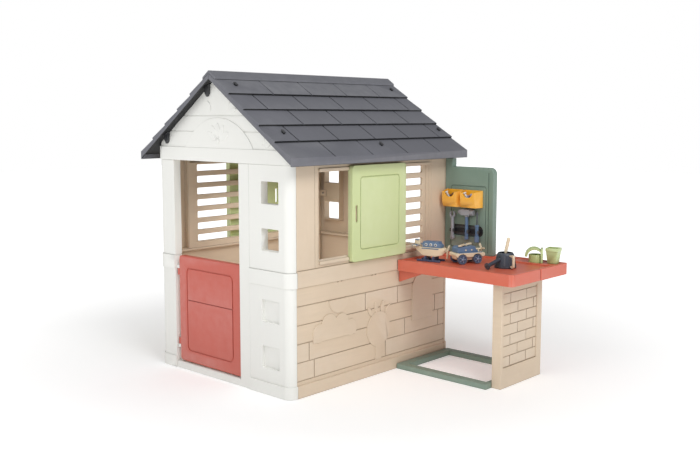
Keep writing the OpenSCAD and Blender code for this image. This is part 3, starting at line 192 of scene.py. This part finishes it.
def settle(piece, surface, radius):
    """Takes the rounding off any edge where it would tear the piece away from its CAD surface."""
    too_far, no_gap, sliver = 0.6 * radius, 0.00002, 2e-8
    for attempt in range(8):
        rounded = piece.evaluated_get(bpy.context.evaluated_depsgraph_get())
        mesh = rounded.to_mesh()
        mesh.calc_loop_triangles()
        torn = []
        for face in mesh.loop_triangles:
            corners = [mesh.vertices[i].co for i in face.vertices]
            centre = (corners[0] + corners[1] + corners[2]) / 3
            _, normal, _, distance = surface.find_nearest(centre)
            turned_over = distance < no_gap and face.normal.dot(normal) < 0.5
            if face.area > sliver and (distance > too_far or turned_over):
                torn.extend(corner.copy() for corner in corners)
        rounded.to_mesh_clear()
        if not torn:
            return
        spots = KDTree(len(torn))
        for index, spot in enumerate(torn):
            spots.insert(spot, index)
        spots.balance()
        weights = piece.data.attributes["bevel_weight_edge"].data
        reach = radius * (1.2 + attempt)
        for edge in piece.data.edges:
            ends = [piece.data.vertices[i].co for i in edge.vertices]
            if weights[edge.index].value > 0.0 and min(spots.find(end)[2] for end in ends) < reach:
                weights[edge.index].value = 0.0
                edge.use_edge_sharp = True
        piece.data.update()


def room_beside(edge, most):
    """How far the faces beside an edge leave room for rounding it, up to a most."""
    room = most
    for vert in edge.verts:
        along = (edge.other_vert(vert).co - vert.co).normalized()
        for other in vert.link_edges:
            away = other.other_vert(vert).co - vert.co
            if other is not edge and away.normalized().dot(along) > -0.85:
                slide = min(1.0, math.tan(away.angle(along, math.pi) / 2))
                room = min(room, away.length * slide)
                if slide < 0.5:
                    room = min(room, edge.calc_length() * slide)
    return room


def moulded(node, body, material, radius=0.0022):
    """A copy of a CAD piece with its triangles merged and its edges rounded, as they leave a mould."""
    same_point, flat_angle, corner_angle, least_share = 0.00002, math.radians(0.5), math.radians(32), 0.06
    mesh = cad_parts[node].data.copy()
    for extra in ("custom_normal", "sharp_face", "sharp_edge"):
        if mesh.attributes.get(extra):
            mesh.attributes.remove(mesh.attributes[extra])
    mesh.materials.clear()
    shell = bmesh.new()
    shell.from_mesh(mesh)
    bmesh.ops.remove_doubles(shell, verts=shell.verts, dist=same_point)
    bmesh.ops.dissolve_limit(shell, angle_limit=flat_angle, verts=shell.verts, edges=shell.edges)
    layers = shell.edges.layers.float
    weight = layers.get("bevel_weight_edge") or layers.new("bevel_weight_edge")
    for edge in shell.edges:
        if len(edge.link_faces) != 2 or edge.calc_face_angle(0.0) < corner_angle:
            continue
        share = min(1.0, 0.32 * room_beside(edge, radius * 4) / radius)
        edge[weight] = share if share > least_share else 0.0
        edge.smooth = share > least_share
    shell.to_mesh(mesh)
    surface = BVHTree.FromBMesh(shell)
    shell.free()
    mesh.shade_smooth()
    piece = bpy.data.objects.new("look_" + node, mesh)
    bpy.context.scene.collection.objects.link(piece)
    mesh.materials.append(material)
    rounding = piece.modifiers.new("rounded_edges", "BEVEL")
    rounding.limit_method = "WEIGHT"
    rounding.width = radius
    rounding.segments = 2
    rounding.use_clamp_overlap = False
    settle(piece, surface, radius)
    flat = piece.modifiers.new("even_faces", "WEIGHTED_NORMAL")
    flat.keep_sharp = True
    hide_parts(node)
    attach(piece, body)


white = plastic("white_plastic", (238, 238, 233), 0.52, streaks=(70, 70, 9), share=0.22, depth=0.16,
                vary=0.012, dust=0.1, rub=0.2, crevice_shade_share=0.3, reach=0.005)
for node in ("front_post_lower", "front_lower_panel", "front_door_frame"):
    moulded(node, "house", white)

# Front wall, upper half: the post, the panel with its two square openings and
# the gable with its arch. The same white plastic, clipped on top of the lower
# half and capped by the roof.

for node in ("front_post_upper", "front_upper_panel", "front_gable"):
    moulded(node, "house", white)

# Back wall: the same mouldings turned round, in the beige of the side walls,
# with a planked panel closing the doorway's lower half.

beige_colour = (222, 202, 177)
beige = plastic("beige_plastic", beige_colour, 0.58, streaks=(7, 7, 95), share=0.45, depth=0.28,
                vary=0.035, dust=0.1)
beige_upright = plastic("beige_upright_plastic", beige_colour, 0.58, streaks=(80, 80, 7), share=0.4,
                        depth=0.22, vary=0.03, dust=0.1)
for node in ("back_post_lower", "back_post_upper", "back_opening_frame"):
    moulded(node, "house", beige_upright)
for node in ("back_lower_panel", "back_upper_panel", "back_gable", "back_infill_panel"):
    moulded(node, "house", beige)

# Side walls: planked lower walls with their raised pictures, posts at both ends
# and slatted window frames. Beige plastic with a moulded wood grain that runs
# along the planks.

for side in ("right", "left"):
    moulded(side + "_lower_wall", "house", beige)
    moulded(side + "_post_front", "house", beige_upright)
    moulded(side + "_post_back", "house", beige_upright)
    moulded(side + "_window_frame", "house", beige)

# Shutters: pale green panels that slide on rails in front of the windows, one
# moulding each, with an engraved line round the field and a finger slot.

pale_green = plastic("pale_green_plastic", (206, 218, 160), 0.5, streaks=(80, 80, 8), share=0.2,
                     depth=0.16, vary=0.02)
for side in ("right", "left"):
    moulded(side + "_shutter", side + "_shutter", pale_green)

# Roof: two moulded slopes of stepped shingles under a ridge cap. Slate-grey
# plastic with a faint grain running down the slope; its downward faces get painted shade, near black.

slate = plastic("slate_plastic", (106, 107, 114), 0.55, streaks=(9, 90, 9), share=0.4, depth=0.3,
                vary=0.05, dust=0.0)
slate_tree = slate.node_tree
slate_base = slate_tree.nodes["Principled BSDF"].inputs["Base Color"]
# Painted shade: faces turned downwards are darkened to near black in the colour.
bare_face = wire(slate_tree, "ShaderNodeNewGeometry").outputs["True Normal"]
facing_up = wire(slate_tree, "ShaderNodeSeparateXYZ", [(0, bare_face)]).outputs["Z"]
underside_shade_share = ramp(slate_tree, facing_up, -0.2, -0.5, 0.0, 0.97)
shaded_underside_colour = blend(slate_tree, underside_shade_share, slate_base.links[0].from_socket, linear(24, 25, 27))
slate_tree.links.new(shaded_underside_colour, slate_base)
for node in ("roof_right", "roof_left", "ridge_cap"):
    moulded(node, "house", slate)

# Roof clips: small dark plastic hooks that hold the slopes to the walls, with
# their heads showing on the shingles.

near_black = plastic("near_black_plastic", (44, 45, 49), 0.5, share=0.2, vary=0.05)
moulded("roof_clips", "house", near_black, radius=0.001)

# Half door: a red hollow panel with a raised frame, swinging on two pins in
# white knuckles at the left post.


class Part:
    """Collects operator-made shapes as one bevelled piece; used as a with-block."""

    def __init__(self, name, body, slot, material, bevel=0.0005):
        self.name, self.body, self.slot, self.material = name, body, slot, material
        self.bevel = bevel

    def __enter__(self):
        self.shape = bmesh.new()
        return self

    def rod(self, place, radius, depth, top=None, segments=32):
        """A cylinder or cone along the place's own Z, standing on its origin."""
        at = place @ Matrix.Translation((0, 0, depth / 2))
        bmesh.ops.create_cone(self.shape, cap_ends=True, segments=segments, radius1=radius,
                              radius2=radius if top is None else top, depth=depth, matrix=at)

    def block(self, place, x, y, z):
        """A box centred on the place, with its three side lengths."""
        bmesh.ops.create_cube(self.shape, size=1.0, matrix=place @ Matrix.Diagonal((x, y, z, 1)))

    def ball(self, place, x, y, z):
        """A ball stretched along three axes."""
        bmesh.ops.create_uvsphere(self.shape, u_segments=24, v_segments=12, radius=1.0,
                                  matrix=place @ Matrix.Diagonal((x, y, z, 1)))

    def __exit__(self, *problem):
        corner_angle = math.radians(35)
        bmesh.ops.recalc_face_normals(self.shape, faces=self.shape.faces)
        sharp = [edge for edge in self.shape.edges
                 if len(edge.link_faces) == 2 and edge.calc_face_angle(0.0) > corner_angle]
        bmesh.ops.bevel(self.shape, geom=sharp, offset=self.bevel, offset_type="OFFSET", affect="EDGES",
                        segments=2, profile=0.5, material=-1, clamp_overlap=True)
        mesh = bpy.data.meshes.new(self.name)
        self.shape.to_mesh(mesh)
        self.shape.free()
        mesh.shade_smooth()
        mesh.materials.append(self.material)
        piece = bpy.data.objects.new(self.name, mesh)
        bpy.context.scene.collection.objects.link(piece)
        flat = piece.modifiers.new("even_faces", "WEIGHTED_NORMAL")
        flat.keep_sharp = True
        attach(piece, self.body)


def shift(x, y, z):
    """A move, in the units of the place it is joined to."""
    return Matrix.Translation((x, y, z))


def tilt(degrees, axis):
    """A turn about one axis."""
    return Matrix.Rotation(math.radians(degrees), 4, axis)


def at_house(x, y, z):
    """A place given in millimetres from the right-hand front corner of the house."""
    corner_x, corner_y, millimetre = 150, -506, 0.001
    corner = Matrix.Translation(((x + corner_x) / 1000, (y + corner_y) / 1000, z / 1000))
    return corner @ Matrix.Scale(millimetre, 4)


brick_red = plastic("brick_red_plastic", (199, 91, 75), 0.42, share=0.15, vary=0.025, coat=0.1)
moulded("door_leaf", "door", brick_red)
hinge_white = plastic("hinge_white_plastic", (232, 232, 228), 0.45, share=0.15, vary=0.02)
moulded("door_hinges", "house", hinge_white, radius=0.001)
pin_x, pin_y, knuckle_tops = -703, 14, (130.0, 451.3)
with Part("look_hinge_caps", "house", "white_hinge", hinge_white, bevel=0.0004) as caps:
    for z in knuckle_tops:
        caps.rod(at_house(pin_x, pin_y, z - 0.2), 5.6, 2.0, top=4.4)
        caps.ball(at_house(pin_x, pin_y, z + 1.6), 3.6, 3.6, 1.4)

# Corner ties and screws: beige angle brackets inside the corners, and the
# zinc-plated screws that pull the panels together.

moulded("corner_ties", "house", beige_upright, radius=0.001)
zinc = plastic("zinc_plate", (176, 178, 182), 0.3, share=0.1, grain=1800, depth=0.08, vary=0.06, dust=0.0)
zinc.node_tree.nodes["Principled BSDF"].inputs["Metallic"].default_value = 1.0
moulded("panel_screws", "house", zinc, radius=0.0006)

# Workbench: a red tray top on a triangular bracket at the wall and a beige
# leg, tied at the floor by a sage base frame.

bench_red = plastic("bench_red_plastic", (214, 104, 80), 0.42, streaks=(8, 60, 60), share=0.15,
                    vary=0.025, coat=0.1)
moulded("bench_top", "house", bench_red)
moulded("bench_bracket", "house", bench_red)
moulded("bench_leg", "house", beige)
sage = plastic("sage_plastic", (124, 146, 133), 0.5, streaks=(70, 70, 9), share=0.2, depth=0.15, vary=0.03)
moulded("bench_base_frame", "house", sage)

# Tool board: a sage panel that plugs into the bench top, with a dark rail that
# holds the tools.

moulded("tool_board", "house", sage)
moulded("tool_rail", "house", near_black, radius=0.001)

# Bins: two glossy yellow-orange boxes with scooped fronts, hung on the board,
# each with big toy screws and nuts in it.


def toy_plastic(name, colour, rough, share=0.15, depth=0.1, vary=0.04, **rest):
    """A smooth plastic for small things that stand clear of the floor's dust."""
    return plastic(name, colour, rough, share=share, depth=depth, vary=vary, dust=0.0, **rest)


bin_yellow = toy_plastic("bin_yellow_plastic", (255, 184, 50), 0.34, share=0.1, depth=0.06, vary=0.02,
                         coat=0.25)
nut_brown = toy_plastic("nut_brown_plastic", (128, 84, 56), 0.42, vary=0.05)
nut_lilac = toy_plastic("nut_lilac_plastic", (158, 156, 186), 0.4)
bolt_white = toy_plastic("bolt_white_plastic", (232, 230, 224), 0.4, share=0.1, depth=0.08, vary=0.02)
left_bin_x, right_bin_x = 12, 110
for side in ("left", "right"):
    moulded("bin_" + side, "bin_" + side, bin_yellow, radius=0.0014)
for side, bin_x, nut_colour in (("left", left_bin_x, nut_brown), ("right", right_bin_x, nut_lilac)):
    moulded("bin_" + side + "_fasteners", "bin_" + side, nut_colour, radius=0.0008)
    with Part("look_bin_" + side + "_bolt", "bin_" + side, "grey_toy", bolt_white, bevel=0.0006) as bolt:
        thread_pitch = 3.4
        lean = at_house(bin_x + 30, 950, 728) @ tilt(-24, "Y") @ tilt(10, "X")
        bolt.rod(lean, 4.6, 26)
        for thread in range(6):
            bolt.rod(lean @ shift(0, 0, 2 + thread_pitch * thread), 4.6, 1.6, top=5.8)
        bolt.rod(lean @ shift(0, 0, 25), 9.0, 5, top=8.2, segments=6)
    with Part("look_bin_" + side + "_nuts", "bin_" + side, "grey_toy", nut_colour, bevel=0.0006) as nuts:
        for x, y, z, turned_by in ((52, 958, 741, 20), (68, 948, 739, 74)):
            spot = at_house(bin_x + x, y, z) @ tilt(turned_by, "Z") @ tilt(18, "X")
            nuts.rod(spot, 10.5, 7, segments=6)
            nuts.rod(spot @ shift(0, 0, 6.4), 6.6, 1.6, top=5.4)

# Toy tools on the rail: a hammer, an open spanner and a screwdriver, moulded in
# grey, slate blue and near black.

tool_grey = toy_plastic("tool_grey_plastic", (152, 157, 166), 0.42)
slate_blue = toy_plastic("slate_blue_plastic", (92, 118, 152), 0.45)
moulded("hammer_head", "hammer", tool_grey, radius=0.0014)
moulded("hammer_handle", "hammer", slate_blue, radius=0.0012)
moulded("spanner", "spanner", tool_grey, radius=0.0012)
moulded("screwdriver_handle", "screwdriver", slate_blue, radius=0.0012)
dark_slate = toy_plastic("dark_slate_plastic", (62, 68, 80), 0.45, vary=0.05)
moulded("screwdriver_shaft", "screwdriver", dark_slate, radius=0.0006)
tool_y, hammer_x, screwdriver_x = 964, 130, 185
with Part("look_screwdriver_ridges", "screwdriver", "blue_toy", slate_blue, bevel=0.0004) as ridges:
    grip_middle, ridge_count = at_house(screwdriver_x, tool_y, 549), 8
    for ridge in range(ridge_count):
        side_of_grip = grip_middle @ tilt(360 / ridge_count * ridge, "Z") @ shift(10.2, 0, 0)
        ridges.block(side_of_grip, 1.6, 3.4, 19)
with Part("look_hammer_collar", "hammer", "grey_toy", tool_grey, bevel=0.0005) as collar:
    collar.rod(at_house(hammer_x, tool_y, 644.5), 8.6, 5.5)
    collar.rod(at_house(hammer_x + 38, tool_y, 665) @ tilt(90, "Y"), 11.2, 1.6, top=10.2)
with Part("look_hammer_grip", "hammer", "blue_toy", slate_blue, bevel=0.0004) as grip:
    for ring in range(5):
        grip.rod(at_house(hammer_x, tool_y, 561 + 5.2 * ring), 8.3, 2.4)

# Toy buggy: a cream body and blue hood on two pairs of slate-blue wheels with
# paler hubs, a two-bladed rotor on the hood and a small propeller at the tail.


def toy_place(x, y, turn):
    """The place of a toy standing on the bench, turned to its heading."""
    bench_face = 472.3
    return at_house(x, y, bench_face) @ tilt(turn, "Z")


cream = toy_plastic("cream_plastic", (232, 214, 184), 0.5, grain=600, share=0.25, depth=0.14)
hub_blue = toy_plastic("hub_blue_plastic", (150, 163, 188), 0.4)
tyre_blue = toy_plastic("tyre_blue_plastic", (84, 100, 128), 0.55, share=0.2, depth=0.16, vary=0.05)
moulded("buggy_body", "buggy", cream, radius=0.0014)
moulded("buggy_hood", "buggy", slate_blue, radius=0.0014)
moulded("buggy_front_wheels", "buggy_front_axle", tyre_blue, radius=0.001)
moulded("buggy_rear_wheels", "buggy_rear_axle", tyre_blue, radius=0.001)
moulded("buggy_rotor", "buggy_rotor", cream, radius=0.001)
buggy = toy_place(252, 790, 64)
axle_height, spokes, treads = 20, 5, 18
for body, axle_x, tyre_radius in (("buggy_front_axle", -36, 20), ("buggy_rear_axle", 36, 19)):
    with Part("look_" + body + "_hubs", body, "blue_toy", hub_blue, bevel=0.0003) as hubs:
        for side in (-1, 1):
            face = buggy @ shift(axle_x, side * 36.2, axle_height) @ tilt(-90 * side, "X")
            hubs.rod(face, 5.6, 2.6, top=4.4)
            hubs.ball(face @ shift(0, 0, 2.4), 3.4, 3.4, 1.6)
            for spoke in range(spokes):
                hubs.block(face @ tilt(360 / spokes * spoke, "Z") @ shift(9.6, 0, 0.1), 9.4, 2.6, 1.8)
    with Part("look_" + body + "_tread", body, "blue_toy", tyre_blue, bevel=0.0002) as tread:
        for side in (-1, 1):
            wheel = buggy @ shift(axle_x, side * 31, axle_height)
            for block in range(treads):
                spot = wheel @ tilt(360 / treads * block, "Y") @ shift(0, 0, tyre_radius - 0.35)
                tread.block(spot, 3.4, 10.5, 0.9)
with Part("look_buggy_lamps", "buggy", "cream_toy", cream, bevel=0.0003) as lamps:
    for side in (-1, 1):
        lamps.rod(buggy @ shift(-62.5, side * 22, 39) @ tilt(-90, "Y"), 5.2, 2.4, top=4.6)
        lamps.rod(buggy @ shift(70.5, side * 24, 38) @ tilt(90, "Y"), 4.2, 2.2, top=3.6)
with Part("look_buggy_waist", "buggy", "blue_toy", slate_blue, bevel=0.0006) as waist:
    for side in (-1, 1):
        waist.block(buggy @ shift(4, side * 29.4, 47.6), 108, 8.6, 3.6)
with Part("look_buggy_stud", "buggy", "cream_toy", cream, bevel=0.0003) as stud:
    for side in (-1, 1):
        for x in (-16, 12):
            stud.rod(buggy @ shift(x, side * 25.9, 58) @ tilt(-90 * side, "X"), 3.6, 1.6, top=2.6)
with Part("look_buggy_tail_propeller", "buggy", "cream_toy", cream, bevel=0.0008) as tail:
    boss = buggy @ shift(70, 0, 58) @ tilt(90, "Y")
    tail.rod(buggy @ shift(58, 0, 46.8), 3.4, 12)
    tail.rod(buggy @ shift(44, 0, 58) @ tilt(90, "Y"), 3.2, 28)
    tail.rod(boss, 5.5, 7, top=3.4)
    for blade in range(3):
        tail.block(boss @ tilt(20 + 120 * blade, "Z") @ shift(15, 0, 3) @ tilt(24, "X"), 22, 9, 2.6)

# Toy float plane: a cream boat hull with a tail wing, a blue cabin with round
# windows, dark floats, a red nose and a three-bladed propeller.

moulded("plane_hull", "plane", cream, radius=0.0014)
moulded("plane_cabin", "plane", slate_blue, radius=0.0014)
skid_blue = toy_plastic("skid_blue_plastic", (72, 88, 120), 0.45, vary=0.05)
moulded("plane_skids", "plane", skid_blue, radius=0.001)
moulded("plane_propeller", "plane_propeller", cream, radius=0.001)
plane = toy_place(108, 730, 12)
porthole_white = toy_plastic("porthole_white_plastic", (238, 236, 230), 0.35, share=0.1, depth=0.12,
                             vary=0.02)
pane = toy_plastic("pane_plastic", (70, 82, 104), 0.15, share=0.05, depth=0.03, vary=0.05, coat=0.5)
porthole_places, porthole_height = (-12, 10, 32), 72
with Part("look_plane_portholes", "plane", "cream_toy", porthole_white, bevel=0.0004) as ports:
    for side in (-1, 1):
        for x in porthole_places:
            out = plane @ shift(x, side * 16.9, porthole_height) @ tilt(-90 * side, "X")
            ports.rod(out, 6.4, 1.8, top=5.6)
with Part("look_plane_panes", "plane", "slate_toy", pane, bevel=0.0003) as panes:
    for side in (-1, 1):
        for x in porthole_places:
            out = plane @ shift(x, side * 18.5, porthole_height) @ tilt(-90 * side, "X")
            panes.rod(out, 4.0, 0.7, top=3.6)
with Part("look_plane_tail_stripes", "plane", "blue_toy", slate_blue, bevel=0.0004) as stripes:
    for side in (-1, 1):
        for y in (10, 20, 30):
            stripes.block(plane @ shift(-60, side * y, 66.6), 25, 4.4, 7.2)
    stripes.block(plane @ shift(-61, 0, 88), 20, 7.2, 5)
with Part("look_plane_nose", "plane", "red_bench", bench_red, bevel=0.0008) as nose:
    nose.rod(plane @ shift(62, 0, 34) @ tilt(70, "Y"), 9.5, 12, top=8)
    nose.ball(plane @ shift(72.5, 0, 30.5), 5.2, 8.5, 7.5)
with Part("look_plane_wale", "plane", "blue_toy", slate_blue, bevel=0.0005) as wale:
    for side in (-1, 1):
        wale.block(plane @ shift(8, side * 20.2, 55.5), 78, 2.2, 4.2)

# Watering can: a squat dark drum with a drooping spout and a cream bow handle,
# and a hand trowel standing in it.

moulded("watering_can", "watering_can", dark_slate, radius=0.0012)
moulded("can_handle", "watering_can", cream, radius=0.0012)
moulded("trowel", "trowel", cream, radius=0.00015)
can = toy_place(436, 806, 262)
with Part("look_can_bands", "watering_can", "slate_toy", dark_slate, bevel=0.0006) as bands:
    bands.rod(can @ shift(0, 0, 3.4), 44.7, 4.2)
    spout_end = can @ shift(24, 0, 40) @ tilt(106, "Y")
    bands.rod(spout_end @ shift(0, 0, 86.5), 13.6, 4.0, top=14.4)
    bands.rod(spout_end @ shift(0, 0, 18), 10.4, 4.0, top=9.2)
    ribs, first_rib = 6, 36
    for rib in range(ribs):
        side_of_can = can @ tilt(first_rib + 360 / ribs * rib, "Z") @ shift(40.3, 0, 31) @ tilt(-10.8, "Y")
        bands.block(side_of_can, 2.6, 7.5, 41)
# Dark discs on the spout's rose stand for its holes: painted shade, not cut holes.
rose_hole_shade = toy_plastic("rose_hole_shade_plastic", (30, 33, 40), 0.55, vary=0.05)
with Part("look_can_rose", "watering_can", "slate_toy", rose_hole_shade, bevel=0.0002) as rose:
    holes = 8
    for hole in range(holes):
        rose.rod(spout_end @ tilt(360 / holes * hole, "Z") @ shift(8.8, 0, 91.6), 1.5, 0.9, segments=12)

# Scoop and pot: a pronged scoop and a square pot at the end of the bench, in
# a pale green, slightly glossy plastic.

toy_green = toy_plastic("toy_green_plastic", (190, 208, 140), 0.38, share=0.12, depth=0.08, vary=0.025,
                        coat=0.15)
moulded("rake_cup", "rake_cup", toy_green, radius=0.001)
moulded("square_pot", "square_pot", toy_green, radius=0.001)

# Studio: a pale floor and a white background, with one broad soft light from
# the front, a stronger one over the bench side, and a faint one inside the
# house. The floor glows more with distance, so that its far edge stays white.

sweep = bmesh.new()
bmesh.ops.create_grid(sweep, x_segments=8, y_segments=8, size=14.0)
floor_mesh = bpy.data.meshes.new("floor")
sweep.to_mesh(floor_mesh)
sweep.free()
floor = bpy.data.objects.new("floor", floor_mesh)
bpy.context.scene.collection.objects.link(floor)
pale_floor = bpy.data.materials.new("pale_floor")
pale_floor.use_nodes = True
floor_tree = pale_floor.node_tree
floor_shader = floor_tree.nodes["Principled BSDF"]
floor_shader.inputs["Base Color"].default_value = (0.86, 0.86, 0.86, 1)
floor_shader.inputs["Roughness"].default_value = 0.9
floor_shader.inputs["Emission Strength"].default_value = 1.0
from_centre = wire(floor_tree, "ShaderNodeVectorMath", [(0, place_of(floor_tree))],
                   operation="LENGTH").outputs["Value"]
floor_glow = ramp(floor_tree, from_centre, 0.8, 4.0, 0.27, 1.0)
floor_tree.links.new(floor_glow, floor_shader.inputs["Emission Color"])
floor_mesh.materials.append(pale_floor)

light_given, light_seen = 0.36, 1.0
sky = bpy.data.worlds.new("studio")
sky.use_nodes = True
background = sky.node_tree.nodes["Background"]
background.inputs["Color"].default_value = (1.0, 1.0, 1.0, 1)
seen = wire(sky.node_tree, "ShaderNodeLightPath").outputs["Is Camera Ray"]
glow = ramp(sky.node_tree, seen, 0.0, 1.0, light_given, light_seen)
sky.node_tree.links.new(glow, background.inputs["Strength"])
bpy.context.scene.world = sky


def soft_light(name, place, aim, size, power):
    """A square soft box at one place, turned to its aim."""
    lamp = bpy.data.lights.new(name, "AREA")
    lamp.shape = "SQUARE"
    lamp.size = size
    lamp.energy = power
    box = bpy.data.objects.new(name, lamp)
    box.location = place
    box.rotation_euler = (Vector(aim) - Vector(place)).to_track_quat("-Z", "Y").to_euler()
    bpy.context.scene.collection.objects.link(box)


house_middle = (0, 0, 0.6)
soft_light("key", (0.6, -4.4, 3.4), house_middle, 2.6, 60)
soft_light("side", (3.7, -1.3, 4.3), house_middle, 2.2, 118)
soft_light("room", (-0.26, 0.0, 0.78), (-0.26, 0.0, 0.0), 0.4, 2.2)

camera = bpy.data.objects.new("camera", bpy.data.cameras.new("camera"))
camera.location = (2.5911, -2.8395, 1.0884)
looking_down, turned_left = 0.108, 0.748
camera.rotation_euler = (math.pi / 2 - looking_down, 0, turned_left)
camera.data.lens = 46.46
camera.data.sensor_width = 36
camera.data.shift_x = 0.0097
camera.data.shift_y = -0.0152
bpy.context.scene.collection.objects.link(camera)
bpy.context.scene.camera = camera
bpy.context.scene.view_settings.view_transform = "Standard"
